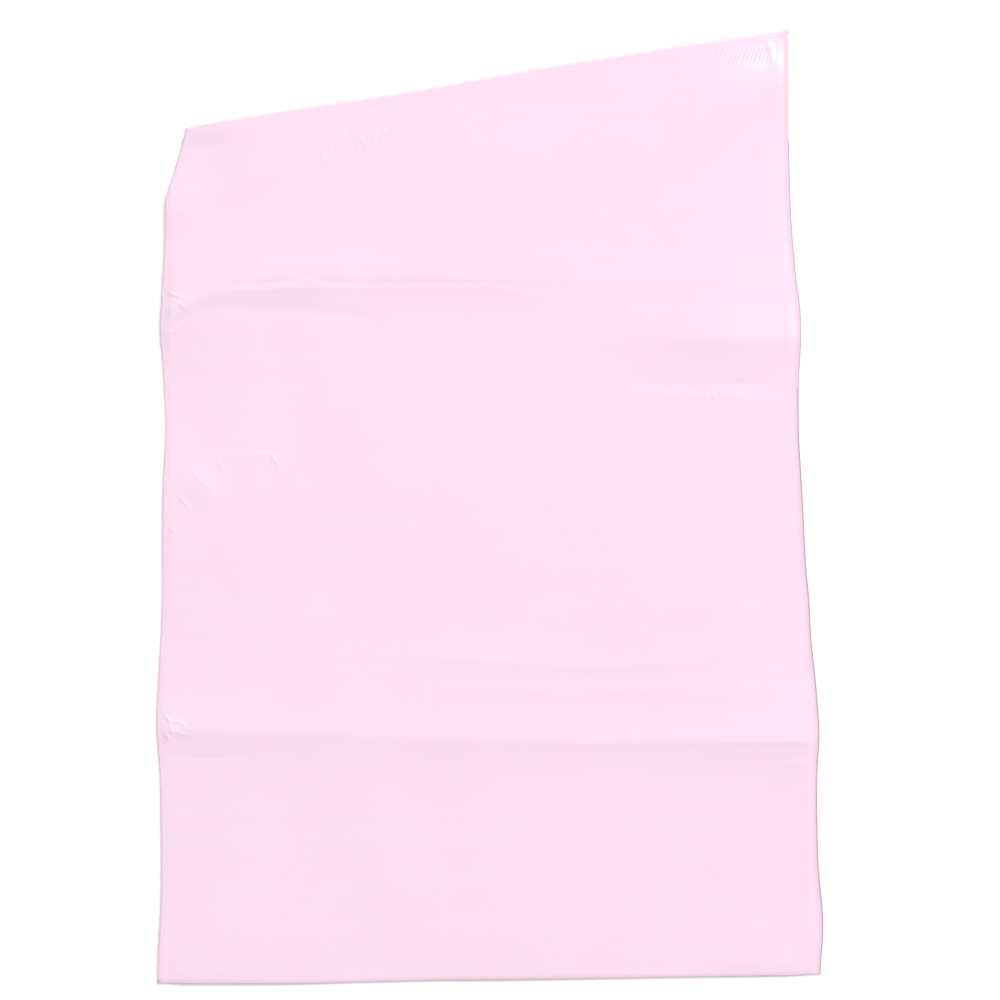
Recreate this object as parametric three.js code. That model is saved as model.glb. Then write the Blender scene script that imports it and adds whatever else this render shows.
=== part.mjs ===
// A poly mailer bag, empty and flat, lying face down: back panel and flap on top, front panel below.
// Millimetres, +Z up, X across the bag, +Y from the bottom fold towards the flap.
// One web of film is folded at the bottom and welded along both sides. The flap is the back panel's
// own film past the mouth. Its free edge is turned under along a slanting line, low on the left,
// and takes with it the adhesive line on its inner face and the liner that covers the adhesive.
import * as THREE from 'three';
import { mergeVertices } from 'three/addons/utils/BufferGeometryUtils.js';

// The bag
const WIDTH = 254;
const POCKET = 330; // bottom fold to mouth
const FLAP = 50; // mouth to the flap's free edge, laid flat
const FILM = 0.06; // one ply
const WELD = 1.5; // side weld, inwards from the cut edge
const BEAD = 0.3; // height of the melted bead along the cut edge

// Where the flap is turned under
const UPRIGHT_LEFT = 7; // left as it is past the mouth, at the left edge
const TURN_RIGHT = 4; // turned under, back from the free edge, at the right edge

// The adhesive line and its liner, measured back from the flap's free edge
const ADHESIVE_WIDTH = 6.5;
const ADHESIVE_SETBACK = 11.5;
const ADHESIVE_HEIGHT = 0.15;
const ADHESIVE_END_GAP = 8;
const LINER_WIDTH = 24;
const LINER_SETBACK = 1;
const LINER_HEIGHT = 0.08;
const LINER_END_GAP = 2;
const CLEARANCE = 0.3; // between one piece and the next

// How the empty bag lies
const RIM = 6; // over this width the back panel comes down to the welds and the bottom fold
const APRON = 14; // the front panel stays lifted this far past the turned-under part
const RAMP = 30; // and comes down to the floor over this length
const CREASES = [
  { y: POCKET - 62, height: 2.2, spread: 9 },
  { y: 95, height: 1.6, spread: 9 },
];

// Fineness
const CELL = 15;
const FLAP_CELLS = 3; // from the mouth to the bend
const BEND_FACETS = 4;
const SAME_PLACE = 1e-6;

// The strips' stack sets how tightly the flap can bend: two thicknesses of it fill the bend.
const ADHESIVE_DEPTH = CLEARANCE;
const LINER_DEPTH = ADHESIVE_DEPTH + ADHESIVE_HEIGHT + CLEARANCE;
const STACK = LINER_DEPTH + LINER_HEIGHT;
const BEND_RADIUS = STACK + CLEARANCE / 2;
const FACET_ARC = (Math.PI * BEND_RADIUS) / BEND_FACETS;
const BEND_STOPS = Array.from({ length: BEND_FACETS + 1 }, (_, k) => FACET_ARC * k);
const LIFT = FILM + STACK + CLEARANCE; // the front panel's height over the turned-under part

const FREE_EDGE = POCKET + FLAP;
const TURN_LEFT = FLAP - UPRIGHT_LEFT;
const TURN_ANGLE = Math.atan2(TURN_LEFT - TURN_RIGHT, WIDTH);
const OUTWARD = new THREE.Vector2(-Math.sin(TURN_ANGLE), Math.cos(TURN_ANGLE));

const filmPink = new THREE.MeshStandardMaterial({ color: 0xfee2f3, roughness: 0.35, metalness: 0 });
const hotMelt = new THREE.MeshStandardMaterial({ color: 0xf3ead2, roughness: 0.3, metalness: 0 });
const linerWhite = new THREE.MeshStandardMaterial({ color: 0xf4f4f2, roughness: 0.4, metalness: 0 });

const clampUnit = (t) => Math.min(Math.max(t, 0), 1);
const smooth = (t) => clampUnit(t) ** 2 * (3 - 2 * clampUnit(t));

// The line where the bend begins, as a length above the bottom fold, and the distance past it.
const bendStart = (x) => FREE_EDGE - THREE.MathUtils.lerp(TURN_LEFT, TURN_RIGHT, x / WIDTH + 0.5);
const pastBend = (x, y) => (y - bendStart(x)) * Math.cos(TURN_ANGLE);

// A point of the flat web, carried round the bend to where it lies below the flap.
// depth is measured from the film's inner face, so the outer face is at -FILM.
function turnedUnder(x, y, depth) {
  const past = pastBend(x, y);
  const angle = Math.min(past / BEND_RADIUS, Math.PI);
  const straight = Math.max(past - Math.PI * BEND_RADIUS, 0);
  const radius = BEND_RADIUS - depth;
  const shift = radius * Math.sin(angle) - straight - past;
  const height = FILM + BEND_RADIUS + radius * Math.cos(angle);
  return new THREE.Vector3(x + shift * OUTWARD.x, y + shift * OUTWARD.y, height);
}

// The turned-under part seen from above: its free edge and its left edge run straight from its
// far corner. A point outside it is to the right of one of them, going from left end to right end.
const FAR_CORNER = turnedUnder(-WIDTH / 2, FREE_EDGE, 0);
const RIGHT_END = turnedUnder(WIDTH / 2, FREE_EDGE, 0);
const LEFT_END = turnedUnder(-WIDTH / 2, FREE_EDGE - TURN_LEFT / 2, 0);

function rightOf(from, to, x, y) {
  const along = new THREE.Vector2(to.x - from.x, to.y - from.y).normalize();
  return along.y * (x - from.x) - along.x * (y - from.y);
}

function outsideTurn(x, y) {
  return Math.max(rightOf(LEFT_END, FAR_CORNER, x, y), rightOf(FAR_CORNER, RIGHT_END, x, y));
}

// The front panel's underside: on the floor, but for the stretch over the turned-under part.
const frontHeight = (x, y) => LIFT * (1 - smooth((outsideTurn(x, y) - APRON) / RAMP));

// 0 along the welds and the bottom fold, 1 from RIM inwards.
function open(x, y) {
  const inwards = WIDTH / 2 - WELD - Math.abs(x);
  const fromWeld = y > POCKET ? Math.hypot(Math.max(inwards, 0), y - POCKET) : inwards;
  return smooth(Math.min(fromWeld, y) / RIM);
}

function creaseHeight(y) {
  const rise = (crease) => crease.height * Math.exp(-(((y - crease.y) / crease.spread) ** 2));
  return CREASES.reduce((total, crease) => total + rise(crease), 0);
}

// The back panel's inner face, level with the top of the bend but for its rim and its creases.
function backHeight(x, y) {
  const front = frontHeight(x, y);
  return FILM + front + open(x, y) * (2 * BEND_RADIUS - front + creaseHeight(y));
}

function onBack(x, y, depth) {
  if (pastBend(x, y) > 0) return turnedUnder(x, y, depth);
  return new THREE.Vector3(x, y, backHeight(x, y) - depth);
}

// Collects flat facets and closes them into one body. Corners run anticlockwise seen from outside.
class Facets {
  positions = [];

  face(corners, flip = false) {
    for (let k = 1; k < corners.length - 1; k += 1) {
      const [first, second, third] = [corners[0], corners[k], corners[k + 1]];
      const triangle = flip ? [first, third, second] : [first, second, third];
      for (const { x, y, z } of triangle) this.positions.push(x, y, z);
    }
  }

  mesh(name, material) {
    const loose = new THREE.BufferGeometry();
    loose.setAttribute('position', new THREE.Float32BufferAttribute(this.positions, 3));
    const geometry = mergeVertices(loose);
    geometry.computeVertexNormals();
    const mesh = new THREE.Mesh(geometry, material);
    mesh.name = name;
    return mesh;
  }
}

// Evenly spaced stations from one value to another, no more than step apart.
function stations(from, to, step) {
  const count = Math.ceil((to - from) / step);
  return Array.from({ length: count + 1 }, (_, k) => from + ((to - from) * k) / count);
}

function columnPlaces() {
  const weld = WIDTH / 2 - WELD;
  const inner = stations(-weld + RIM, weld - RIM, CELL);
  return [-WIDTH / 2, -weld, -weld + RIM / 2, ...inner, weld - RIM / 2, weld, WIDTH / 2];
}

// The web's rows from the bottom fold to the mouth, closer together over the creases.
function pocketRows() {
  const places = [0, RIM / 2];
  let from = RIM;
  for (const { y, spread } of [...CREASES].sort((a, b) => a.y - b.y)) {
    places.push(...stations(from, y - 2 * spread, CELL), y - spread, y - spread / 2, y);
    places.push(y + spread / 2, y + spread);
    from = y + 2 * spread;
  }
  return [...places, ...stations(from, POCKET, CELL)];
}

// The rows past the mouth, at one column: up to the bend, round it, and on to the free edge.
function flapRows(x) {
  const start = bendStart(x);
  const cell = (start - POCKET) / FLAP_CELLS;
  const flat = Array.from({ length: FLAP_CELLS - 1 }, (_, k) => POCKET + cell * (k + 1));
  const bend = BEND_STOPS.map((stop) => start + stop / Math.cos(TURN_ANGLE));
  return [...flat, ...bend, FREE_EDGE];
}

function mailerFilm() {
  const columns = columnPlaces();
  const rows = pocketRows();
  const places = columns.map((x) => [...rows, ...flapRows(x)]);
  const last = columns.length - 1;
  const mouth = rows.length - 1;
  const free = places[0].length - 1;

  // The four faces of the film: outside and inside of the back panel and its flap, inside and
  // outside of the front panel. In the welds the two panels are one thickness.
  const backInner = (i, j) => onBack(columns[i], places[i][j], 0);
  const frontAt = (i, j, height) => {
    const [x, y] = [columns[i], places[i][j]];
    return new THREE.Vector3(x, y, frontHeight(x, y) + height);
  };
  const frontInner = (i, j) => frontAt(i, j, FILM);
  const frontOuter = (i, j) => frontAt(i, j, 0);
  const backOuter = (i, j) => {
    const onBead = (i === 0 || i === last) && j <= mouth;
    return onBead ? frontAt(i, j, BEAD) : onBack(columns[i], places[i][j], -FILM);
  };
  const foldTip = (i) => new THREE.Vector3(columns[i], -FILM, FILM);

  const film = new Facets();
  const cell = (face, i, j) => [face(i, j), face(i + 1, j), face(i + 1, j + 1), face(i, j + 1)];
  const band = (upper, lower, i) => [upper(i), upper(i + 1), lower(i + 1), lower(i)];
  for (let i = 0; i < last; i += 1) {
    const inWeld = i === 0 || i === last - 1;
    for (let j = 0; j < free; j += 1) {
      const inPocket = j < mouth;
      film.face(cell(backOuter, i, j));
      if (!inPocket || !inWeld) film.face(cell(backInner, i, j), true);
      if (inPocket && !inWeld) film.face(cell(frontInner, i, j));
      if (inPocket) film.face(cell(frontOuter, i, j), true);
    }
    film.face(band((k) => backOuter(k, free), (k) => backInner(k, free), i));
    film.face(band((k) => frontInner(k, mouth), (k) => frontOuter(k, mouth), i));
    film.face(band((k) => backOuter(k, 0), foldTip, i), true);
    film.face(band(foldTip, (k) => frontOuter(k, 0), i), true);
  }

  // The side edges: the weld up to the mouth, where the flap's single ply begins, and the flap
  for (const i of [0, last]) {
    const flip = i === last;
    film.face([foldTip(i), backOuter(i, 0), frontOuter(i, 0)], flip);
    for (let j = 0; j < free; j += 1) {
      const inner = j < mouth ? frontOuter : backInner;
      const steps = j === mouth - 1 ? [backInner(i, j + 1)] : [];
      const wall = [inner(i, j), backOuter(i, j), backOuter(i, j + 1), ...steps, inner(i, j + 1)];
      film.face(wall, flip);
    }
  }
  return film.mesh('mailer_film', filmPink);
}

// The part of a convex outline past the given distance into the bend, or short of it.
function cutOutline(outline, distance, side) {
  const kept = [];
  outline.forEach((corner, k) => {
    const next = outline[(k + 1) % outline.length];
    const [here, there] = [corner, next].map(({ x, y }) => side * (pastBend(x, y) - distance));
    if (here >= 0) kept.push(corner);
    if (here * there < 0) kept.push(corner.clone().lerp(next, here / (here - there)));
  });
  return kept;
}

// A strip on the flap's inner face: a flat outline, cut at the bend's facets and carried round it.
function flapStrip(name, material, { width, setback, endGap, depth, height }) {
  const [left, right] = [endGap - WIDTH / 2, WIDTH / 2 - endGap];
  const [near, far] = [FREE_EDGE - setback - width, FREE_EDGE - setback];
  const corners = [[left, near], [right, near], [right, far], [left, far]];
  const outline = corners.map((corner) => new THREE.Vector2(...corner));
  const limits = [-FREE_EDGE, ...BEND_STOPS, FREE_EDGE];
  const isOn = ({ x, y }, stop) => Math.abs(pastBend(x, y) - stop) < SAME_PLACE;
  const onCut = (from, to) => BEND_STOPS.some((stop) => isOn(from, stop) && isOn(to, stop));
  const upper = ({ x, y }) => onBack(x, y, depth);
  const lower = ({ x, y }) => onBack(x, y, depth + height);

  const strip = new Facets();
  for (let k = 0; k < limits.length - 1; k += 1) {
    const piece = cutOutline(cutOutline(outline, limits[k], 1), limits[k + 1], -1);
    if (piece.length < 3) continue;
    strip.face(piece.map(upper));
    strip.face(piece.map(lower), true);
    piece.forEach((corner, n) => {
      const next = piece[(n + 1) % piece.length];
      if (!onCut(corner, next)) strip.face([lower(corner), lower(next), upper(next), upper(corner)]);
    });
  }
  return strip.mesh(name, material);
}

const adhesive = flapStrip('adhesive_line', hotMelt, {
  width: ADHESIVE_WIDTH,
  setback: ADHESIVE_SETBACK,
  endGap: ADHESIVE_END_GAP,
  depth: ADHESIVE_DEPTH,
  height: ADHESIVE_HEIGHT,
});

const liner = flapStrip('release_liner', linerWhite, {
  width: LINER_WIDTH,
  setback: LINER_SETBACK,
  endGap: LINER_END_GAP,
  depth: LINER_DEPTH,
  height: LINER_HEIGHT,
});

// The origin is under the middle of the bag, on the surface that it lies on.
const mailer = new THREE.Group();
mailer.add(mailerFilm(), adhesive, liner);
const middle = new THREE.Box3().setFromObject(mailer).getCenter(new THREE.Vector3());
mailer.position.set(-middle.x, -middle.y, 0);

export default mailer;
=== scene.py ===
"""The looks of an empty poly mailer bag that lies face down, with its flap's edge turned under."""

import math

import bpy
import numpy as np
from mathutils import Matrix, Vector


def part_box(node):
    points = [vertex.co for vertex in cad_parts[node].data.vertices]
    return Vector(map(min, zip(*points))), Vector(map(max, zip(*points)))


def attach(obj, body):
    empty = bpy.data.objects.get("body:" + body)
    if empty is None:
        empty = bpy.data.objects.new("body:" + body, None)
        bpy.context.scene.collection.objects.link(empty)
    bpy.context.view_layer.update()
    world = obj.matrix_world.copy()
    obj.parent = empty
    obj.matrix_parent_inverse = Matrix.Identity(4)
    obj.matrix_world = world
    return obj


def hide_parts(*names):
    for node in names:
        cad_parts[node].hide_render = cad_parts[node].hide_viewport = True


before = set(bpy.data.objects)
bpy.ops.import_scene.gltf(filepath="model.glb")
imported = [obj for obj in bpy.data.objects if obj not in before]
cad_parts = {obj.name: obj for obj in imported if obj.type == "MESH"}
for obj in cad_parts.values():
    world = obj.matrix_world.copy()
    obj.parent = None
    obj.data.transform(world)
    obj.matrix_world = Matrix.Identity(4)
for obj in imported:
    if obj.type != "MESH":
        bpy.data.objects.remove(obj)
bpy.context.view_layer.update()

# Everything below is in millimetres, in the CAD's frame, until a mesh is made.
MM = 0.001
WIDTH, POCKET, FLAP = 254.0, 330.0, 50.0
FREE_EDGE = POCKET + FLAP
WEB_LENGTH = POCKET + FREE_EDGE
WEB_MAP = "web"
FILM = 0.06
WELD = 1.5
TURN_LEFT, TURN_RIGHT = 43.0, 4.0
TURN = math.atan2(TURN_LEFT - TURN_RIGHT, WIDTH)
BEND_RADIUS = 0.98
# The bag's length inside its two folds, from the bottom one to the highest place of the flap's
LENGTH = 377.0
film_low, film_high = (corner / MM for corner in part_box("mailer_film"))
# From a place on the flat web to the same place of the bag as it lies
WEB_TO_BAG = (film_low.x + WIDTH / 2, film_high.y - (LENGTH + FILM))

# The web is a lattice of columns and rows, from which a cell takes 1, 2, 4, 8 or 16 steps each way.
COLUMNS = 640
WELD_COLUMNS = 4
# So many columns beside each edge take up so many millimetres, in which the film comes up from its weld.
SIDE_COLUMNS, SIDE_BAND = 16, 7.5
# The rows of the pocket's mouth, of the flap's bend from start to end, and of its free edge
MOUTH, BEND, STRAIGHT, EDGE = 800, 912, 928, 960
# The most steps that a cell of the front panel and one of the back panel take
COARSEST, COARSEST_BACK = 16, 8


def smooth(t):
    """Eases from 0 to 1."""
    t = np.clip(t, 0, 1)
    return t * t * (3 - 2 * t)


def lerp(a, b, t):
    return a + (b - a) * t


def bend_start(u):
    """How far up the web the flap's bend starts, which is more towards the right."""
    return FREE_EDGE - lerp(TURN_LEFT, TURN_RIGHT, u / WIDTH + 0.5)


def past_bend(u, v):
    """How far a place is beyond the bend's start, measured square to the bend."""
    return (v - bend_start(u)) * math.cos(TURN)


def web_place(i, j):
    """Where a lattice point lies on the flat web: across from the middle, and up from the bottom fold."""
    half = WIDTH / 2
    inner = half - WELD
    u = np.interp(i, [0, WELD_COLUMNS, SIDE_COLUMNS, COLUMNS - SIDE_COLUMNS, COLUMNS - WELD_COLUMNS, COLUMNS],
                  [-half, -inner, -half + SIDE_BAND, half - SIDE_BAND, inner, half])
    start = bend_start(u)
    straight = start + math.pi * BEND_RADIUS / math.cos(TURN)
    v = np.select(
        [j <= MOUTH, j <= BEND, j <= STRAIGHT],
        [POCKET * j / MOUTH,
         lerp(POCKET, start, (j - MOUTH) / (BEND - MOUTH)),
         lerp(start, straight, (j - BEND) / (STRAIGHT - BEND))],
        lerp(straight, FREE_EDGE, (j - STRAIGHT) / (EDGE - STRAIGHT)))
    return u, v


def to_path(x, y, path):
    """Distance to a path, the side of it that a point is on (1 is left), and the height there."""
    best = np.full(np.shape(x), 1e9)
    side = np.zeros_like(best)
    height = np.zeros_like(best)
    for (ax, ay, ah), (bx, by, bh) in zip(path, path[1:]):
        dx, dy = bx - ax, by - ay
        t = np.clip(((x - ax) * dx + (y - ay) * dy) / (dx * dx + dy * dy), 0, 1)
        away = np.hypot(x - ax - t * dx, y - ay - t * dy)
        nearer = away < best
        best = np.where(nearer, away, best)
        side = np.where(nearer, np.sign(dx * (y - ay) - dy * (x - ax)), side)
        height = np.where(nearer, lerp(ah, bh, smooth(t)), height)
    return best, side, height


def crest(x, y, path, left, right, sharp):
    """A ridge, or with negative heights a valley, whose two flanks have their own widths."""
    away, side, height = to_path(x, y, path)
    width = np.where(side > 0, left, right)
    return height * np.exp(-(np.sqrt(away ** 2 + sharp ** 2) - sharp) / width)


def dent(x, y, middle, radii, turn, height):
    """A rounded rise with one radius across and one along, turned by an angle."""
    c, s = math.cos(turn), math.sin(turn)
    dx, dy = x - middle[0], y - middle[1]
    return height * np.exp(-((dx * c + dy * s) / radii[0]) ** 2 - ((dy * c - dx * s) / radii[1]) ** 2)


def waves(x, y, seed, count, short, long, steep):
    """Gentle waves of mixed lengths, all about as steep."""
    chance = np.random.default_rng(seed)
    total = np.zeros(np.shape(x))
    for _ in range(count):
        length = short * (long / short) ** chance.random()
        turn = chance.random() * math.tau
        phase = chance.random() * math.tau
        across = x * math.cos(turn) + y * math.sin(turn)
        bend = 0.35 * np.sin((x * math.sin(turn) - y * math.cos(turn)) * 4 / length + phase * 3)
        total += length * np.sin(across * math.tau / length + phase + bend)
    return total * steep / math.tau / math.sqrt(count)


# The creases pressed in while the bag was folded in its pack: through both panels, from left to right,
# as places with a height. The heights are scaled by CREASE_LIFT.
UPPER_CREASE = [(-127, 69, 1.5), (-119, 73.5, 1.3), (-111, 79, 1.1), (-99, 83, 1.0), (-73, 84.8, 1.0),
                (-20, 84.9, 0.9), (8, 83.5, 0.7), (30, 78.2, 0.35), (60, 70, 0.5), (87, 61, 0.8),
                (127, 58.5, 1.2)]
LOWER_CREASE = [(-127, -93, 1.5), (-112, -93, 1.3), (-73, -94, 0.8), (-22, -98, 0.9), (28, -99.5, 1.0),
                (82, -99.7, 1.2), (127, -100.3, 1.7)]
CREASE_LIFT = 0.55
# How far the back panel lies above the front one, how wide its slopes up from the welds are, and how far
# before the flap's bend it starts to rise or fall to it.
PANEL_GAP, WELD_SLOPE, BEND_SLOPE = 0.62, 38, 75
# How far the turned-under flap lifts the front panel
TURN_LIFT = 0.72
# Lines on the back panel alone: places with a height in millimetres, the widths of the left and the right
# flank, and how round the top is.
LINES = [
    # The upper crease: its step down, the thin light line on it, the wedge below and the thin dark line above
    ([(-125, 68, 0.15), (-119, 73.6, 0.34), (-113, 79.4, 0.36), (-107, 83.4, 0.38), (-93, 86.2, 0.38),
      (-61, 86.8, 0.36), (-20, 86.5, 0.34), (16, 85.2, 0.28), (56, 83.4, 0.24), (96, 83.2, 0.24),
      (127, 82.2, 0.24)], 24.0, 5.0, 0.5),
    ([(-119, 78.1, 0.04), (-107, 81.2, 0.13), (-92.9, 82.3, 0.15), (-72.8, 82.8, 0.14), (-48.6, 82.5, 0.11),
      (-20.4, 82.4, 0.09), (5.7, 81.9, 0.09), (15.7, 79.7, 0.11), (29.7, 78, 0.0)], 1.0, 1.8, 0.15),
    ([(-125, 65, -0.15), (-119, 71.0, -0.4), (-107, 76.0, -0.44), (-92.9, 75.5, -0.42), (-72.8, 73.9, -0.34),
      (-52.7, 71.9, -0.22), (-38.6, 70.0, 0.0)], 2.0, 4.4, 0.4),
    ([(-113, 79.6, -0.04), (-107, 82.8, -0.12), (-92.9, 84.6, -0.14), (-76, 85.6, -0.13),
      (-68.7, 87.7, -0.15), (-63.9, 85.6, -0.13), (-52.6, 84.2, -0.13), (-20.4, 83.9, -0.12),
      (7.7, 83.1, -0.08), (19.7, 80.4, -0.04), (26, 79, 0.0)], 1.5, 1.0, 0.15),
    # Its right end: the broad fall, the light edge of that, and the two valleys and the ridge below
    ([(32, 60.8, 0.0), (63, 60.0, 0.4), (95, 58.6, 0.56), (127, 57.6, 0.46)], 50.0, 9.0, 1.2),
    ([(55, 61.0, 0.0), (95, 59.6, 0.08), (127, 58.8, 0.14)], 2.2, 2.5, 0.4),
    ([(40, 41.6, 0.0), (87, 40.7, -0.3), (108, 40.6, -0.36), (127, 40.5, -0.4)], 4.5, 4.0, 0.5),
    ([(96, 40.3, 0.0), (106, 40.2, -0.14), (126, 40.0, -0.2)], 1.5, 0.5, 0.1),
    ([(40, 38.2, 0.0), (60, 37.6, 0.06), (92, 35.0, 0.1), (127, 33.6, 0.1)], 1.8, 3.0, 0.5),
    # A faint line, and the light line over the left patch
    ([(-60, 56.5, -0.04), (-110, 56.9, -0.04)], 1.4, 0.7, 0.2),
    ([(-103, 13.6, 0.0), (-97, 15.2, 0.1), (-86, 15.4, 0.14), (-77, 14.6, 0.08), (-75, 13.6, 0.0)],
     0.7, 2.4, 0.2),
    # Two soft bands above the lower crease, and then that crease from left to right
    ([(-42, -65.2, 0.05), (0, -68, 0.2), (44, -71.3, 0.2), (127, -66, 0.05)], 4.0, 1.8, 0.8),
    ([(-30, -78.6, 0.04), (40, -80.5, 0.2), (121, -81, 0.14)], 4.0, 2.6, 1.0),
    ([(-125, -93, 0.5), (-110, -93.5, 0.46), (-96, -93.8, 0.36), (-60, -95.2, 0.24), (-22, -97.0, 0.22),
      (30, -98.6, 0.2)], 7.0, 5.5, 1.0),
    ([(35, -100, 0.1), (59, -99.5, 0.28), (82, -99.7, 0.34), (105, -100.2, 0.38), (127, -100.6, 0.42)],
     7.0, 4.0, 0.45),
    ([(0, -100.4, 0.0), (59, -100.8, 0.06), (105, -101.3, 0.1), (127, -101.7, 0.13)], 3.0, 0.8, 0.2),
    ([(-125, -104.2, -0.24), (-100, -103.0, -0.2), (-90, -101.4, 0.0)], 1.0, 3.0, 0.2),
    ([(105, -109.6, 0.0), (120, -109.8, 0.16), (127, -110.6, 0.2)], 1.4, 2.0, 0.4),
    # The fold along the lower right edge
    ([(119.5, -184, 0.05), (122.2, -157, 0.26), (124.0, -120, 0.26), (124.4, -108, 0.0)], 1.6, 1.2, 0.3),
]
# How far the two sides of the adhesive line are from the flap's free edge
ADHESIVE_INNER, ADHESIVE_OUTER = 18, 11.5
ADHESIVE_MIDDLE = FREE_EDGE - (ADHESIVE_INNER + ADHESIVE_OUTER) / 2
ADHESIVE_WIDTH = ADHESIVE_INNER - ADHESIVE_OUTER
# How far the bag's edges lift off the floor in places, in slow waves: the sides and the bottom fold
SIDE_LIFT, BOTTOM_LIFT = 0.55, 0.35


def both_panels(x, y):
    """Height that both panels share: creases through the bag, and edges that lift a little."""
    height = (crest(x, y, UPPER_CREASE, left=24, right=12, sharp=4) * CREASE_LIFT
              + crest(x, y, LOWER_CREASE, left=13, right=9, sharp=3) * CREASE_LIFT)
    by_side = smooth((np.abs(x) - 80) / 47)
    along_side = 0.5 + 0.5 * np.sin(y / 21 + np.where(x > 0, 0.6, 2.1) + 0.8 * np.sin(y / 37))
    height += by_side * along_side * SIDE_LIFT
    by_bottom = smooth((-y - 150) / 38)
    along_bottom = 0.5 + 0.5 * np.sin(x / 19 + 1.1)
    height += by_bottom * along_bottom * BOTTOM_LIFT * (1 - 0.5 * by_side)
    return height


def glue_pucker(u, v, x, y):
    """The glue's shrinkage gathers the film above it into small slanting puckers, up to the glue's end."""
    pitch = 1.6
    across = (v - ADHESIVE_MIDDLE) / ADHESIVE_WIDTH
    band = np.exp(-(across / 0.45) ** 4)
    slant = x + across * -2.6
    strength = lerp(0.0, 0.02, smooth((x - 58) / 14)) + 0.075 * smooth((x - 84) / 14)
    strength = strength * smooth((121 - x) / 4)
    ripple = np.sin(slant * math.tau / pitch + 0.6 * np.sin(x * 1.3) + 0.8 * np.sin(x / 5))
    glue_end = dent(x, y, (119.5, 178.2), (1.2, 3.6), turn=0.1, height=0.16)
    return band * strength * ripple + glue_end


def shown_through(x, y):
    """The turned-under glue line's puckers, faint through the film that lies on them."""
    # The glue line's middle, from left to right
    (ax, ay), (bx, by) = (-118.0, 119.8), (50.0, 176.4)
    pitch = 3.3
    length = math.hypot(bx - ax, by - ay)
    along = ((x - ax) * (bx - ax) + (y - ay) * (by - ay)) / length
    across = ((y - ay) * (bx - ax) - (x - ax) * (by - ay)) / length
    band = np.exp(-(across / 3.6) ** 4) * smooth(along / 12) * smooth((length - along) / 14)
    ripple = np.sin((along - across * 0.5) * math.tau / pitch + 0.9 * np.sin(along / 5.1))
    stronger = 0.35 + np.exp(-((along - 70) / 20) ** 2)
    return band * (0.07 + 0.035 * stronger * ripple)


# Small dents: the middle, how far across and along, how far it is turned, and the height.
MARKS = [
    ((-123.5, 73.5), (0.7, 3.8), -0.62, 0.36), ((-122.5, 80.6), (0.7, 3.4), 1.22, 0.32),
    ((-119.5, 76.4), (0.8, 3.0), 1.0, 0.2), ((-121.5, 66.5), (0.6, 3.6), -0.7, 0.22),
    ((-124.6, 61.5), (0.6, 4.0), 0.05, 0.2), ((-124.4, 65.6), (0.5, 1.3), 1.4, 0.2),
    ((-123.8, -88.0), (0.6, 2.6), 0.9, 0.34), ((-122.3, -91.5), (0.6, 2.8), 0.2, 0.32),
    ((-120.2, -89.5), (0.6, 2.4), 1.2, 0.22), ((-124.4, -94.5), (0.7, 2.4), 0.6, 0.34),
    ((-118.8, -94.0), (0.7, 3.2), 1.3, 0.2), ((-117.0, -91.0), (0.7, 2.2), 0.6, 0.16),
    ((-119.2, -3.3), (0.6, 3.2), 0.67, 0.2), ((-123.6, -14.4), (0.5, 1.7), 0.67, 0.2),
    ((-124.0, -17.4), (0.5, 1.4), 0.0, 0.16), ((-105.2, 11.2), (0.6, 1.9), 0.35, 0.17),
    ((-83.1, 12.8), (0.7, 2.2), 0.5, 0.22), ((-110.0, 3.0), (0.8, 2.6), 0.9, 0.12),
    ((-114.5, 7.5), (0.8, 3.2), 0.5, 0.12), ((-124.4, 6.0), (0.6, 3.4), -0.05, 0.18),
    ((-51.0, 146.8), (0.55, 2.2), 0.35, 0.14), ((-47.2, 143.4), (0.55, 2.4), 0.4, 0.16),
    ((-63.2, 136.8), (0.5, 1.6), 0.3, 0.13), ((-38.3, 147.6), (0.5, 1.1), 0.3, 0.13),
    ((88.6, 150.8), (0.6, 2.4), -0.35, 0.12), ((86.4, 147.6), (0.6, 2.2), -0.3, 0.1),
    ((92.4, 35.6), (0.45, 1.4), 0.1, 0.18), ((124.3, 36.0), (0.45, 1.2), 0.3, 0.2),
    ((113.3, -42.1), (0.8, 1.6), 0.4, 0.12), ((38.6, 170.1), (0.9, 1.2), 0.9, 0.05),
    ((58.6, 169.2), (1.2, 1.0), 0.9, 0.06), ((42.0, 156.8), (0.8, 1.8), 0.3, 0.05),
]
# Broad ones, given in the same way
SWELLS = [
    ((105, 158.5), (25, 9), 0.7, 0.7), ((90, 149.5), (4.5, 1.8), 0.9, 0.1),
    ((-113, 3), (6, 9), 0.67, 0.5),
]


def small_marks(x, y):
    """Dents, crumples and glinting creases at single places of the back panel."""
    return sum(dent(x, y, *mark) for mark in MARKS)


def swells(x, y):
    """The broad soft folds that catch the light by the top right corner, and one by the left edge."""
    return sum(dent(x, y, *swell) for swell in SWELLS)


def details(u, v, x, y):
    """All that the back panel does above the level it is stretched at."""
    to_bend = bend_start(u) - v
    broad = (sum(crest(x, y, *line) for line in LINES) + swells(x, y)
             + waves(x, y, seed=5, count=9, short=26, long=110, steep=0.012))
    small = small_marks(x, y) + glue_pucker(u, v, x, y) + shown_through(x, y)
    return broad * smooth(to_bend / 16) + small * smooth(to_bend / 3)


def corner_pinch(x, y):
    """0 at the top left corner, where all plies are pressed together, and 1 away from it."""
    corner = (-126, 141)
    return smooth((np.hypot(x - corner[0], y - corner[1]) - 3) / 24)


def local_radius(x):
    """The bend's radius, which is pressed tight towards the top left corner."""
    return BEND_RADIUS * lerp(0.28, 1, smooth((x + 127) / 26))


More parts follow.
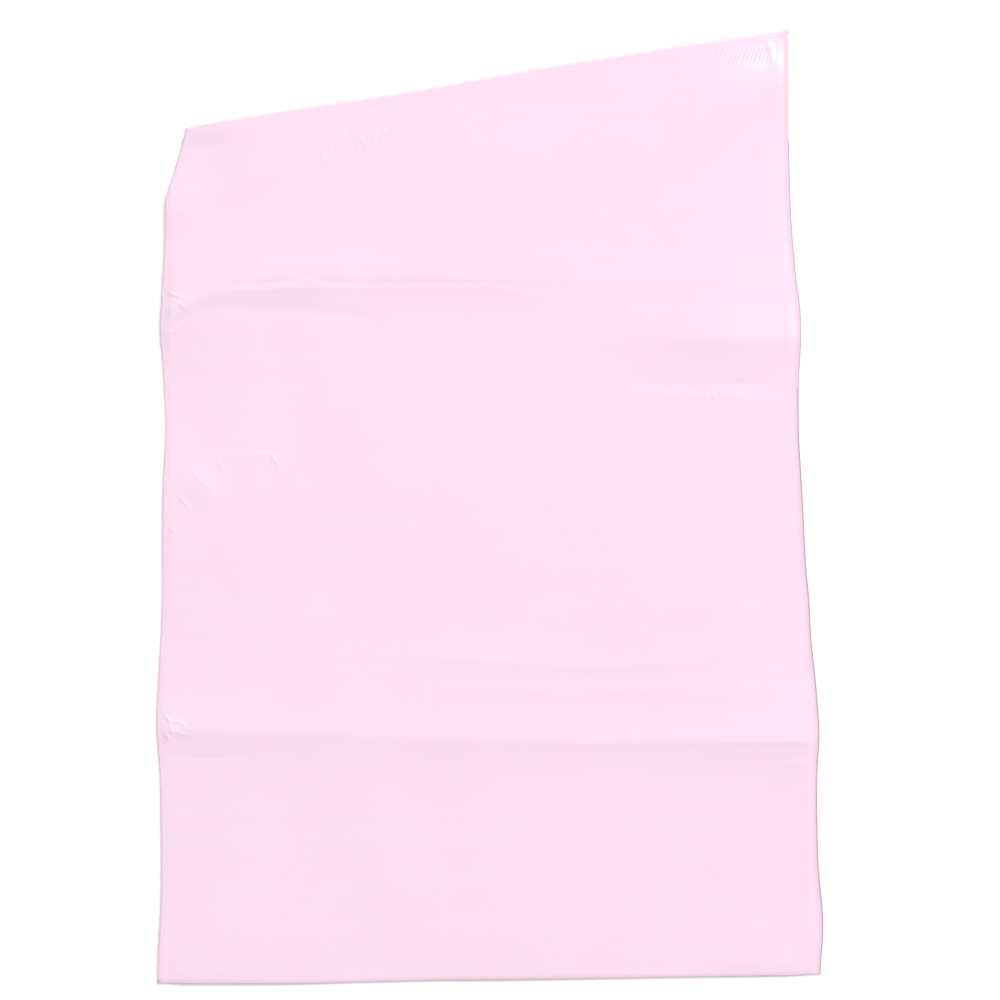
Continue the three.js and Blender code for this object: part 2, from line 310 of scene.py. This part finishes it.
def turned_part(x, y):
    """How far a place lies outside the turned-under part, a long wedge, seen from above."""
    left, tip, right = (-124.3, 127.9), (-121.0, 107.6), (126.8, 184.0)

    def right_of(a, b):
        dx, dy = b[0] - a[0], b[1] - a[1]
        return (dy * (x - a[0]) - dx * (y - a[1])) / math.hypot(dx, dy)

    return np.maximum(right_of(left, tip), right_of(tip, right))


def front_height(x, y):
    """The front panel's outer face over the floor: it lies on the turned-under flap, then on the floor."""
    over_turn = TURN_LIFT * (1 - smooth((turned_part(x, y) - 6) / 45)) * lerp(0.3, 1, corner_pinch(x, y))
    return over_turn + both_panels(x, y) * smooth((turned_part(x, y) + 2) / 40)


def from_weld(u):
    """How far inside the nearest side weld a place is."""
    return WIDTH / 2 - WELD - np.abs(u)


def opened(u, v):
    """0 along the welds, where the panels are held together, and 1 well inside and past the mouth."""
    side = smooth(from_weld(u) / WELD_SLOPE)
    past_mouth = smooth((v - POCKET) / (0.9 * (bend_start(u) - POCKET)))
    return 1 - (1 - side) * (1 - past_mouth)


def nose_radius(u):
    """The bottom fold's outer radius: pressed flat by the welds, rounder between them."""
    return FILM + 0.22 * smooth(from_weld(u) / 12)


def back_height(u, v, x, y):
    """The back panel's inner face over the floor, as far as the bend."""
    front = front_height(x, y)
    by_bend = 2 * local_radius(x)
    near_bend = np.clip(1 - (bend_start(u) - v) / BEND_SLOPE, 0, 1) ** 2
    level = np.maximum(lerp(PANEL_GAP + front, by_bend, near_bend), 0)
    fold = 2 * (nose_radius(u) - FILM)
    from_fold = smooth(v / 18) ** 0.5
    inwards = from_weld(u)
    gap = fold * (1 - from_fold) + opened(u, v) * (level - front) * from_fold
    gap = gap + details(u, v, x, y) * smooth(v / 4) * smooth(inwards / 2.5)
    # The gap to the front panel closes softly, and doesn't close altogether.
    least = 0.1 * smooth(inwards / 8) * smooth(v / 6)
    gap = np.where(least > 0, (gap + np.sqrt(gap * gap + 4 * least * least)) / 2, gap)
    return FILM + front + np.maximum(gap, 0.02 * smooth(inwards))


def place(u, v, depth):
    """A point of the back panel or flap, at a depth under its inner face (its outer face is at -FILM)."""
    past = past_bend(u, v)
    x, y = u + WEB_TO_BAG[0], v + WEB_TO_BAG[1]
    bend = local_radius(x)
    angle = np.clip(past / bend, 0, math.pi)
    straight = np.maximum(past - math.pi * bend, 0)
    radius = bend - depth
    shift = np.where(past > 0, radius * np.sin(angle) - straight - past, 0)
    z = np.where(past > 0, FILM + bend + radius * np.cos(angle), back_height(u, v, x, y) - depth)
    return x - shift * math.sin(TURN), y + shift * math.cos(TURN), z


# How far the outline wanders off the straight, as places with a distance: outwards along the left and the
# right side, and upwards along the bottom and the flap's fold.
LEFT_EDGE = [(-188, 0.2), (-180, 0.1), (-157, -1.0), (-142, -0.9), (-112, -0.2), (-90, 1.3), (-81, 1.4),
             (-42, -0.1), (6, 0.0), (26, -0.9), (52, 0.6), (67, 1.6), (83, 0.9), (100, 0.3), (121, -0.3),
             (150, 0.0)]
RIGHT_EDGE = [(-188, -1.6), (-173, 0.6), (-160, 0.4), (-152, -0.5), (-130, -0.3), (-110, 0.5), (-99, 2.0),
              (-89, 1.8), (-73, 1.2), (-62, 0.2), (-46, 0.4), (-35, -0.5), (-8, -0.7), (20, -1.4), (42, -0.5),
              (54, 0.9), (70, 1.6), (82, 0.2), (109, -0.9), (137, -0.6), (158, -0.2), (188, 0.9)]
BOTTOM_EDGE = [(-127, 0.5), (-73, -0.5), (-22, 0.1), (60, -0.2), (127, -0.1)]
FOLD_LINE = [(-127, 0.5), (-92, 0.6), (-57, 0.0), (-32, -0.7), (7, 0.0), (27, 0.3), (50, -0.1), (127, 0.0)]


def rounded(at, line):
    """A value read off a line of places and values, without corners."""
    places, values = zip(*line)
    near = [np.interp(at + step, places, values) for step in (-6, -3, 0, 3, 6)]
    return sum(near) / len(near)


def warped(x, y, z):
    """Moves the outline off the straight, and what lies inside it less and less."""
    across, up = (x - film_low.x) / WIDTH, (y - film_low.y) / LENGTH
    left, right = rounded(y, LEFT_EDGE), rounded(y, RIGHT_EDGE)
    dx = -left * np.clip(1 - across, 0, 1) ** 2 + right * np.clip(across, 0, 1) ** 2
    dy = rounded(x, BOTTOM_EDGE) * np.clip(1 - up, 0, 1) ** 2 + rounded(x, FOLD_LINE) * np.clip(up, 0, 1) ** 4
    return x + dx, y + dy, z


def dog_ear(x, y, z):
    """Turns the top left corner under along a short slanting line."""
    (ax, ay), (bx, by) = (-119.4, 149.9), (-125.9, 126.5)
    length = math.hypot(bx - ax, by - ay)
    nx, ny = (by - ay) / length, -(bx - ax) / length
    beyond = (x - ax) * nx + (y - ay) * ny
    # The height of all plies together, and the radius that the innermost one turns with
    stack, inner = 0.62, 0.12
    lift = stack + 2 * inner
    mid = inner + stack / 2
    # Beside the line the plies climb onto the part that is turned under.
    rise = lift * (1 - smooth((-beyond - 1) / 22)) * (1 - smooth((118 - y) / 16))
    past = beyond + mid
    angle = np.clip(past / mid, 0, math.pi)
    straight = np.maximum(past - math.pi * mid, 0)
    radius = inner + np.clip(z, 0, stack)
    turned = past > 0
    shift = np.where(turned, radius * np.sin(angle) - straight - past, 0)
    height = np.where(turned, stack + inner + radius * np.cos(angle), z + rise)
    return x + shift * nx, y + shift * ny, height


def shaped(x, y, z):
    """Points of the finished bag, from their places in the straight one."""
    return np.column_stack(dog_ear(*warped(x, y, z)))


def spread(wanted, size, steps):
    """Cells within some steps of a finer one are at most twice its size."""
    near = wanted <= size
    for axis in (0, 1):
        grown = near.copy()
        for step in range(1, steps + 1):
            for way in (-step, step):
                moved = np.roll(near, way, axis)
                edge = [slice(None), slice(None)]
                edge[axis] = slice(0, step) if way > 0 else slice(-step, None)
                moved[tuple(edge)] = False
                grown |= moved
        near = grown
    return np.where(near, np.minimum(wanted, size * 2), wanted)


def fineness():
    """The largest cell allowed at each place of the lattice."""
    i, j = np.meshgrid(np.arange(COLUMNS) + 0.5, np.arange(EDGE) + 0.5, indexing="ij")
    u, v = web_place(i, j)
    x, y = u + WEB_TO_BAG[0], v + WEB_TO_BAG[1]
    wanted = np.full(i.shape, COARSEST_BACK)

    def at_most(size, where):
        wanted[where] = np.minimum(wanted[where], size)

    # The back panel's creases, lines and swells
    flat = j < BEND
    for path, left, right, _ in LINES:
        away = to_path(x, y, path)[0]
        at_most(2 if min(left, right) < 2 else 4, (away < 1.2) & flat)
        at_most(4, (away < 3.5) & flat)
    for path in (UPPER_CREASE, LOWER_CREASE):
        at_most(4, (to_path(x, y, path)[0] < 4) & flat)
    at_most(4, (np.abs(swells(x, y)) > 0.25) & flat)
    # The puckers over the glue line, where it lies and where it is turned under, and the small dents
    at_most(1, (np.abs(v - ADHESIVE_MIDDLE) < 3.4) & (x > 62) & (x < 122) & flat)
    at_most(2, (np.abs(v - ADHESIVE_MIDDLE) < 4.5) & (x > 45) & flat)
    at_most(2, (np.abs(shown_through(x, y)) > 0.03) & flat)
    at_most(1, (np.abs(small_marks(x, y)) > 0.07) & flat)
    # The crisp line below the right end of the upper crease
    at_most(1, (x > 97) & (np.abs(y - 40.1) < 1.1))
    # The flap's bend, which is tightest at the left, and the corner that is turned under
    at_most(2, (j >= BEND) & (j < STRAIGHT))
    at_most(1, (x < -112) & (j >= BEND - 6) & (j < STRAIGHT))
    at_most(2, (x < -108) & (y > 118))
    # The edges all round, and the right weld near the flap
    at_most(4, (i < SIDE_COLUMNS) | (i > COLUMNS - SIDE_COLUMNS) | (j >= STRAIGHT) | (j < 4))
    at_most(2, i > COLUMNS - 2)
    at_most(1, (i > COLUMNS - 1) & (j > 560) & (j < BEND))
    for size in (1, 2, 4):
        wanted = spread(wanted, size, size)
    return wanted


def cells(wanted, rows):
    """The lattice's cells, as (column, row, size), each as large as it may be."""
    found = []
    free = np.ones(wanted.shape, bool)
    size = COARSEST
    while size:
        blocks = wanted[:, :rows].reshape(COLUMNS // size, size, rows // size, size).min((1, 3)) >= size
        unused = free[:, :rows].reshape(COLUMNS // size, size, rows // size, size).all((1, 3))
        for a, b in zip(*np.nonzero(blocks & unused)):
            found.append((a * size, b * size, size))
            free[a * size:(a + 1) * size, b * size:(b + 1) * size] = False
        size //= 2
    return found


def corners_used(found):
    """Which lattice points are a cell's corner."""
    used = np.zeros((COLUMNS + 1, EDGE + 1), bool)
    for a, b, size in found:
        used[a, b] = used[a + size, b] = used[a, b + size] = used[a + size, b + size] = True
    return used


def outline(cell, used):
    """A cell's corners and every other lattice point in use along its sides, anticlockwise."""
    a, b, s = cell
    ring = [(a + k, b) for k in range(s)] + [(a + s, b + k) for k in range(s)]
    ring += [(a + s - k, b + s) for k in range(s)] + [(a, b + s - k) for k in range(s)]
    return [p for p in ring if used[p]]


def split_up(found, used):
    """Each cell's faces: itself, or a fan about its middle where finer cells border it."""
    faces = []
    for cell in found:
        ring = outline(cell, used)
        if len(ring) == 4:
            faces.append((cell, [ring]))
        else:
            hub = (cell[0] + cell[2] // 2, cell[1] + cell[2] // 2)
            faces.append((cell, [[hub, p, q] for p, q in zip(ring, ring[1:] + ring[:1])]))
    # A fan starts at its middle, which is now in use as well.
    for _, parts in faces:
        for part in parts:
            used[part[0]] = True
    return faces


# The numbers of the film's two materials
OUTSIDE, INSIDE = 0, 1


class Body:
    """Points and faces of one closed mesh, in millimetres, each face with its material's number."""

    def __init__(self):
        self.points, self.web, self.faces, self.finish = [], [], [], []
        self.count = 0

    def add(self, points, u, v):
        """Adds points with their places on the flat web, and gives their numbers."""
        first = self.count
        self.points.append(points)
        self.web.append(np.column_stack(np.broadcast_arrays(u, v)))
        self.count += len(points)
        return np.arange(first, self.count)

    def face(self, ring, finish=OUTSIDE):
        """Adds a face, unless so many of its corners are one point that none is left."""
        ring = [int(p) for p in ring]
        ring = [p for k, p in enumerate(ring) if p != ring[k - 1]]
        if len(ring) > 2:
            self.faces.append(ring)
            self.finish.append(finish)

    def make(self, name, materials):
        """The mesh as an object, with the flat web as its UV map."""
        mesh = bpy.data.meshes.new(name)
        mesh.from_pydata((np.concatenate(self.points) * MM).tolist(), [], self.faces)
        for material in materials:
            mesh.materials.append(material)
        mesh.polygons.foreach_set("material_index", self.finish)
        mesh.polygons.foreach_set("use_smooth", [True] * len(self.faces))
        flat = (np.concatenate(self.web) + (WIDTH / 2, POCKET)) / WEB_LENGTH
        loops = np.concatenate(self.faces)
        mesh.uv_layers.new(name=WEB_MAP).uv.foreach_set("vector", flat[loops].astype("float32").ravel())
        mesh.update()
        made = bpy.data.objects.new(name, mesh)
        bpy.context.scene.collection.objects.link(made)
        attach(made, "root")
        return made


def mailer_film(materials):
    """The whole web as one closed mesh: front panel, back panel and flap, with an inside and an outside."""
    fine = fineness()
    back = cells(fine, EDGE)
    # The front panel is plain, so its cells are large, and only along the welds as small as the weld is wide.
    plain = np.where(fine[:, :MOUTH] < COARSEST_BACK, COARSEST_BACK, COARSEST)
    by_edge = 2 * WELD_COLUMNS
    plain[:by_edge] = plain[-by_edge:] = WELD_COLUMNS
    front = cells(plain, MOUTH)
    on_back, on_front = corners_used(back), corners_used(front)
    # Where the panels meet, at the welds, the bottom fold and the mouth's ends, they use the same points.
    inner = (WELD_COLUMNS, COLUMNS - WELD_COLUMNS)
    for line in [(column, slice(0, MOUTH + 1)) for column in (0, *inner, COLUMNS)]:
        on_back[line] = on_front[line] = on_back[line] | on_front[line]
    on_back[:, 0] = on_front[:, 0] = on_back[:, 0] | on_front[:, 0]
    for ends in (slice(0, WELD_COLUMNS + 1), slice(COLUMNS - WELD_COLUMNS, COLUMNS + 1)):
        on_back[ends, MOUTH] = on_front[ends, MOUTH] = on_back[ends, MOUTH] | on_front[ends, MOUTH]
    back, front = split_up(back, on_back), split_up(front, on_front)

    i, j = np.meshgrid(np.arange(COLUMNS + 1), np.arange(EDGE + 1), indexing="ij")
    unwelded = (i >= inner[0]) & (i <= inner[1])
    body = Body()
    index = {}

    def lay(name, mask, position):
        """One skin's points, and their numbers by column and row."""
        index[name] = np.full(mask.shape, -1)
        u, v = web_place(i[mask], j[mask])
        index[name][mask] = body.add(shaped(*position(u, v)), u, -v if "front" in name else v)

    def on_front_panel(height):
        """Where the front panel's points are, at a height over its outer face."""
        def position(u, v):
            x, y = u + WEB_TO_BAG[0], v + WEB_TO_BAG[1]
            return x, y, front_height(x, y) + height
        return position

    lay("back_out", on_back, lambda u, v: place(u, v, -FILM))
    lay("back_in", on_back & (unwelded | (j >= MOUTH)), lambda u, v: place(u, v, 0))
    lay("front_out", on_front & (j <= MOUTH), on_front_panel(0))
    shared = (i <= inner[0]) | (i >= inner[1])
    lay("front_in", on_front & (j <= MOUTH) & ~shared, on_front_panel(FILM))
    index["front_in"][shared] = index["back_in"][shared]

    for (column, row, _), parts in back:
        in_pocket, in_weld = row < MOUTH, column < inner[0] or column >= inner[1]
        for ring in parts:
            body.face([index["back_out"][p] for p in ring], OUTSIDE)
            if not (in_pocket and in_weld):
                body.face([index["back_in"][p] for p in reversed(ring)], INSIDE)
    for (column, _, _), parts in front:
        for ring in parts:
            body.face([index["front_out"][p] for p in reversed(ring)], OUTSIDE)
            if inner[0] <= column < inner[1]:
                body.face([index["front_in"][p] for p in ring], INSIDE)

    def strip(upper, lower, flip, finish):
        """A row of faces between two lines of points."""
        for (a, b), (c, d) in zip(zip(upper, upper[1:]), zip(lower, lower[1:])):
            body.face([a, c, d, b] if flip else [a, b, d, c], finish)

    # The flap's free edge and the front panel's mouth
    row = np.nonzero(on_back[:, EDGE])[0]
    strip(index["back_out"][row, EDGE], index["back_in"][row, EDGE], flip=False, finish=OUTSIDE)
    row = np.nonzero(on_front[:, MOUTH])[0]
    strip(index["front_in"][row, MOUTH], index["front_out"][row, MOUTH], flip=False, finish=OUTSIDE)

    # The bottom fold, round outside and inside
    row = np.nonzero(on_back[:, 0])[0]
    u, _ = web_place(row, np.zeros(len(row)))
    x, y = u + WEB_TO_BAG[0], np.full(len(row), WEB_TO_BAG[1])
    floor, nose = front_height(x, y), nose_radius(u)

    def fold_rows(upper, lower, radius):
        """Lines of points from the back panel round the fold to the front panel."""
        rows = [upper]
        for turn in (45, 90, 135):
            a = math.radians(turn)
            bent = shaped(x, y - radius * math.sin(a), floor + nose + radius * math.cos(a))
            rows.append(body.add(bent, u, 0))
        return [*rows, lower]

    outer_rows = fold_rows(index["back_out"][row, 0], index["front_out"][row, 0], nose)
    for upper, lower in zip(outer_rows, outer_rows[1:]):
        strip(upper, lower, flip=True, finish=OUTSIDE)
    # The inside of the fold ends in a single point at each weld.
    inside = (row >= inner[0]) & (row <= inner[1])
    inner_rows = fold_rows(index["back_in"][row, 0], index["front_in"][row, 0], nose - FILM)
    for k in (0, -1):
        end = np.nonzero(inside)[0][k]
        for each in inner_rows:
            each[end] = inner_rows[0][end]
    for upper, lower in zip(inner_rows, inner_rows[1:]):
        strip(upper[inside], lower[inside], flip=False, finish=INSIDE)

    # The side edges: a bead of melted film along the welds, and the flap's cut edge
    for column, way in ((0, -1), (COLUMNS, 1)):
        flip = way > 0
        rows = np.nonzero(on_back[column])[0]
        weld, flap = rows[rows <= MOUTH], rows[rows >= MOUTH]
        u, v = web_place(np.full(len(weld), column), weld)
        x, y = u + WEB_TO_BAG[0], v + WEB_TO_BAG[1]
        # The bead's radius, which wavers and gets less at the mouth
        melt = 0.13 + 0.035 * np.sin(v * 2.3 + 1.7 * np.sin(v * 0.61)) + 0.02 * np.sin(v * 5.1)
        melt *= smooth((MOUTH + 4 - weld) / 12) * 0.7 + 0.3
        floor = front_height(x, y)
        rings = [index["back_out"][column, weld]]
        for turn in (125, 85, 40, 0, -45):
            a = math.radians(turn)
            height = np.maximum(floor + melt + melt * math.sin(a), floor + 0.01)
            rings.append(body.add(shaped(x + way * melt * math.cos(a), y, height), u, v))
        rings.append(index["front_out"][column, weld])
        for upper, lower in zip(rings, rings[1:]):
            strip(upper, lower, flip, OUTSIDE)
        strip(index["back_out"][column, flap], index["back_in"][column, flap], flip, OUTSIDE)
        # The bead's two ends, at the mouth and at the bottom fold
        end = [r[-1] for r in rings]
        ring = [*end, index["back_in"][column, MOUTH]]
        body.face(ring if flip else ring[::-1], OUTSIDE)
        foot = [r[0] for r in rings] + [r[0 if column == 0 else -1] for r in outer_rows[1:-1]][::-1]
        body.face(foot[::-1] if flip else foot, OUTSIDE)
    return body.make("mailer_film_looks", materials)


def flap_strip(name, material, inner, outer, end_gap, depth, height, wobble):
    """A strip on the flap's inner face, which the bend takes along. Both sides waver a little.

    Inner and outer say how far its two sides are from the flap's free edge.
    """
    count, across = 600, 11
    left, right = -WIDTH / 2 + end_gap, WIDTH / 2 - end_gap
    u = np.linspace(left, right, count)
    edge = wobble * (np.sin(u * 0.9) + 0.6 * np.sin(u * 2.3 + 1)) / 1.6
    t = np.linspace(0, 1, across)
    grid_u = np.repeat(u[:, None], across, 1)
    low_side, high_side = FREE_EDGE - inner + edge, FREE_EDGE - outer - edge[::-1]
    grid_v = lerp(low_side[:, None], high_side[:, None], t[None, :])
    body = Body()
    sides = []
    for at in (depth, depth + height):
        points = shaped(*place(grid_u.ravel(), grid_v.ravel(), at))
        sides.append(body.add(points, grid_u.ravel(), grid_v.ravel()).reshape(count, across))
    top, low = sides
    for a in range(count - 1):
        for b in range(across - 1):
            body.face([top[a, b], top[a + 1, b], top[a + 1, b + 1], top[a, b + 1]])
            body.face([low[a, b], low[a, b + 1], low[a + 1, b + 1], low[a + 1, b]])
        for b, flip in ((0, False), (across - 1, True)):
            ring = [low[a, b], low[a + 1, b], top[a + 1, b], top[a, b]]
            body.face(ring[::-1] if flip else ring)
    for a, flip in ((0, True), (count - 1, False)):
        for b in range(across - 1):
            ring = [low[a, b], low[a, b + 1], top[a, b + 1], top[a, b]]
            body.face(ring[::-1] if flip else ring)
    return body.make(name, [material])


def node(tree, kind, sockets=None, **settings):
    """A shader node, with each named socket linked or set."""
    made = tree.nodes.new("ShaderNode" + kind)
    for name, value in settings.items():
        setattr(made, name, value)
    for name, value in (sockets or {}).items():
        if isinstance(value, bpy.types.NodeSocket):
            tree.links.new(value, made.inputs[name])
        else:
            made.inputs[name].default_value = value
    return made


def new_material(name):
    """A material, its node tree and its shader."""
    made = bpy.data.materials.new(name)
    made.use_nodes = True
    return made, made.node_tree, made.node_tree.nodes["Principled BSDF"]


def between(tree, value, low, high, to_low=0.0, to_high=1.0):
    """A value that goes smoothly from one level to another as its input passes through a range."""
    ranged = node(tree, "MapRange", {"Value": value, "From Min": low, "From Max": high, "To Min": to_low,
                                     "To Max": to_high}, interpolation_type="SMOOTHSTEP")
    return ranged.outputs[0]


def calculated(tree, operation, first, second=0.0):
    """A sum, product or the like of one or two values."""
    return node(tree, "Math", {0: first, 1: second}, operation=operation).outputs[0]


def mixed(tree, amount, first, second):
    """Two colours mixed, each a socket or a colour."""
    made = node(tree, "Mix", {"Factor": amount}, data_type="RGBA")
    for socket, colour in ((made.inputs[6], first), (made.inputs[7], second)):
        if isinstance(colour, bpy.types.NodeSocket):
            tree.links.new(colour, socket)
        else:
            socket.default_value = (*colour, 1)
    return made.outputs[2]


COAT_ROUGHNESS = 0.06
# How deep the film's bump is, in metres
RELIEF = 0.00012


def film_material(name, colours, edge, roughness, coat, streaks=1.0):
    """Film with faint lines across the bag, as it came off its roll, and with cloudy patches and fine grain.

    Where an edge colour is given, the welds and the bottom fold have it as painted shade: a darker pink that
    stands in for the shade on the film's rounded edges. Everything is laid out on the flat web, so it follows
    the film round its folds.
    """
    made, tree, shader = new_material(name)
    web = node(tree, "UVMap", uv_map=WEB_MAP).outputs[0]

    def noise(across, up, detail, at):
        """Noise with its own fineness across and up the web, from its own part of the pattern."""
        stretched = node(tree, "Mapping", {"Vector": web, "Scale": (across, up, 1),
                                           "Location": (at, 3 * at, 0)})
        pattern = node(tree, "TexNoise", {"Vector": stretched.outputs[0], "Scale": 1.0, "Detail": detail})
        return pattern.outputs[0]

    lines, fine_lines = noise(3, 150, 2, 0.3), noise(9, 620, 1, 1.1)
    clouds, patches, grain = noise(17, 17, 4, 2.6), noise(60, 60, 3, 4.2), noise(640, 640, 2, 5.5)
    drawn = calculated(tree, "ADD", calculated(tree, "MULTIPLY", lines, 0.35 * streaks),
                       calculated(tree, "MULTIPLY", fine_lines, 0.15 * streaks))
    cloudy = calculated(tree, "ADD", calculated(tree, "MULTIPLY", clouds, 0.4),
                        calculated(tree, "MULTIPLY", patches, 0.25))
    amount = between(tree, calculated(tree, "ADD", drawn, cloudy), 0.3 + 0.15 * streaks, 0.4 + 0.35 * streaks)
    colour = mixed(tree, amount, *colours)
    # Painted shade: the welds and the bottom fold are mixed towards the darker edge colour, which stands in
    # for the shade on the film's rounded edges.
    if edge:
        apart = node(tree, "SeparateXYZ", {"Vector": web})
        middle, fold = WIDTH / 2 / WEB_LENGTH, POCKET / WEB_LENGTH
        sideways = calculated(tree, "ABSOLUTE", calculated(tree, "SUBTRACT", apart.outputs[0], middle))
        weld_shade = between(tree, sideways, (WIDTH / 2 - WELD - 1.2) / WEB_LENGTH,
                          (WIDTH / 2 - 0.3) / WEB_LENGTH)
        from_fold = calculated(tree, "ABSOLUTE", calculated(tree, "SUBTRACT", apart.outputs[1], fold))
        fold_shade = between(tree, from_fold, 0, 1.4 / WEB_LENGTH, 0.7, 0.0)
        colour = mixed(tree, calculated(tree, "MAXIMUM", weld_shade, fold_shade), colour, edge)
    tree.links.new(colour, shader.inputs["Base Color"])
    tree.links.new(between(tree, cloudy, 0.2, 0.45, *roughness), shader.inputs["Roughness"])
    relief = calculated(tree, "ADD", calculated(tree, "MULTIPLY", patches, 0.9),
                        calculated(tree, "ADD", calculated(tree, "MULTIPLY", grain, 0.1), drawn))
    bump = node(tree, "Bump", {"Strength": 0.5, "Distance": RELIEF, "Height": relief})
    tree.links.new(bump.outputs[0], shader.inputs["Normal"])
    shader.inputs["Coat Weight"].default_value = coat
    shader.inputs["Coat Roughness"].default_value = COAT_ROUGHNESS
    return made


# The edge colour here is painted shade, a darker pink along the welds and the bottom fold.
pink = film_material("film_outside", ((0.976, 0.73, 0.87), (0.984, 0.746, 0.885)), edge=(0.93, 0.66, 0.8),
                     roughness=(0.14, 0.21), coat=0.3)
grey = film_material("film_inside", ((0.5, 0.475, 0.485), (0.6, 0.565, 0.575)), edge=None,
                     roughness=(0.3, 0.42), coat=0.2)
glue = film_material("hot_melt", ((0.86, 0.77, 0.56), (0.92, 0.86, 0.72)), edge=None,
                     roughness=(0.22, 0.36), coat=0.3, streaks=0.4)
white = film_material("liner_film", ((0.86, 0.86, 0.85), (0.91, 0.91, 0.9)), edge=None,
                      roughness=(0.36, 0.46), coat=0.0, streaks=0.8)

film = mailer_film([pink, grey])
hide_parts("mailer_film")
adhesive = flap_strip("adhesive_looks", glue, inner=ADHESIVE_INNER, outer=ADHESIVE_OUTER, end_gap=8,
                      depth=0.012, height=0.1, wobble=0.25)
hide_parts("adhesive_line")
liner = flap_strip("liner_looks", white, inner=25, outer=1.2, end_gap=2.5,
                   depth=0.125, height=0.05, wobble=0.08)
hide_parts("release_liner")

# The camera looks down on the bag from a little towards its foot, and is turned a little.
AIM = (6.26, -4.5)
DISTANCE = 600.0
TILT, LEAN, ROLL = (math.radians(a) for a in (6.898, 3.626, -0.951))
back = np.array([math.sin(LEAN) * math.sin(TILT), -math.cos(LEAN) * math.sin(TILT), math.cos(TILT)])
right = np.cross([0, 1, 0], back)
right /= np.linalg.norm(right)
up = np.cross(back, right)
right, up = math.cos(ROLL) * right + math.sin(ROLL) * up, math.cos(ROLL) * up - math.sin(ROLL) * right
camera = bpy.data.objects.new("camera", bpy.data.cameras.new("camera"))
bpy.context.scene.collection.objects.link(camera)
camera.data.lens = 54.5
camera.data.sensor_width = 36
stand = np.eye(4)
stand[:3, :3] = np.column_stack([right, up, back])
stand[:3, 3] = (np.array([*AIM, 0]) + DISTANCE * back) * MM
camera.matrix_world = Matrix(stand.tolist())
bpy.context.scene.camera = camera

# From here on, everything is in metres.
HALF_FLOOR, FLOOR_Z = 6.0, -0.0002
# What the floor adds where it is seen directly, and from where to where it turns into the white background
FLOOR_GLOW = 0.16
FADE_START, FADE_END = 0.45, 1.4
floor_material, tree, shader = new_material("floor")
shader.inputs["Base Color"].default_value = (0.9, 0.9, 0.9, 1)
shader.inputs["Roughness"].default_value = 0.6
shader.inputs["Specular IOR Level"].default_value = 0.1
shader.inputs["Emission Color"].default_value = (1, 1, 1, 1)


def seen_directly(tree):
    """1 for rays from the camera, in reflections and through glass, 0 for light on the object."""
    path = node(tree, "LightPath")
    mirrored = calculated(tree, "MAXIMUM", path.outputs["Is Camera Ray"], path.outputs["Is Glossy Ray"])
    return calculated(tree, "MAXIMUM", mirrored, path.outputs["Is Transmission Ray"])


seen = seen_directly(tree)
tree.links.new(calculated(tree, "MULTIPLY", seen, FLOOR_GLOW), shader.inputs["Emission Strength"])
distance = node(tree, "VectorMath", {0: node(tree, "NewGeometry").outputs["Position"]}, operation="LENGTH")
far = between(tree, distance.outputs["Value"], FADE_START, FADE_END)
glow = node(tree, "Emission", {"Color": (1, 1, 1, 1), "Strength": 1.0})
blend = node(tree, "MixShader", {0: calculated(tree, "MULTIPLY", far, seen), 1: shader.outputs[0],
                                 2: glow.outputs[0]})
tree.links.new(blend.outputs[0], tree.nodes["Material Output"].inputs["Surface"])
mesh = bpy.data.meshes.new("floor")
corners = [(x * HALF_FLOOR, y * HALF_FLOOR, FLOOR_Z) for x, y in ((-1, -1), (1, -1), (1, 1), (-1, 1))]
mesh.from_pydata(corners, [], [(0, 1, 2, 3)])
mesh.materials.append(floor_material)
floor = bpy.data.objects.new("floor", mesh)
bpy.context.scene.collection.objects.link(floor)

# How bright the white surroundings are as a light. Seen directly they are plain white.
WORLD_LIGHT = 0.49
world = bpy.data.worlds.new("studio")
bpy.context.scene.world = world
world.use_nodes = True
tree = world.node_tree
strength = node(tree, "MapRange", {"Value": seen_directly(tree), "To Min": WORLD_LIGHT, "To Max": 1.0})
ground = tree.nodes["Background"]
ground.inputs["Color"].default_value = (1, 1, 1, 1)
tree.links.new(strength.outputs[0], ground.inputs["Strength"])


def lamp(name, place_m, size, watts):
    """A round softbox that faces the bag."""
    data = bpy.data.lights.new(name, "AREA")
    data.shape = "DISK"
    data.size = size
    data.energy = watts
    made = bpy.data.objects.new(name, data)
    made.location = place_m
    made.rotation_euler = (-Vector(place_m)).to_track_quat("-Z", "Y").to_euler()
    bpy.context.scene.collection.objects.link(made)


lamp("key", place_m=(3.1, 4.96, 5.46), size=5.0, watts=530)

bpy.context.scene.view_settings.view_transform = "Standard"
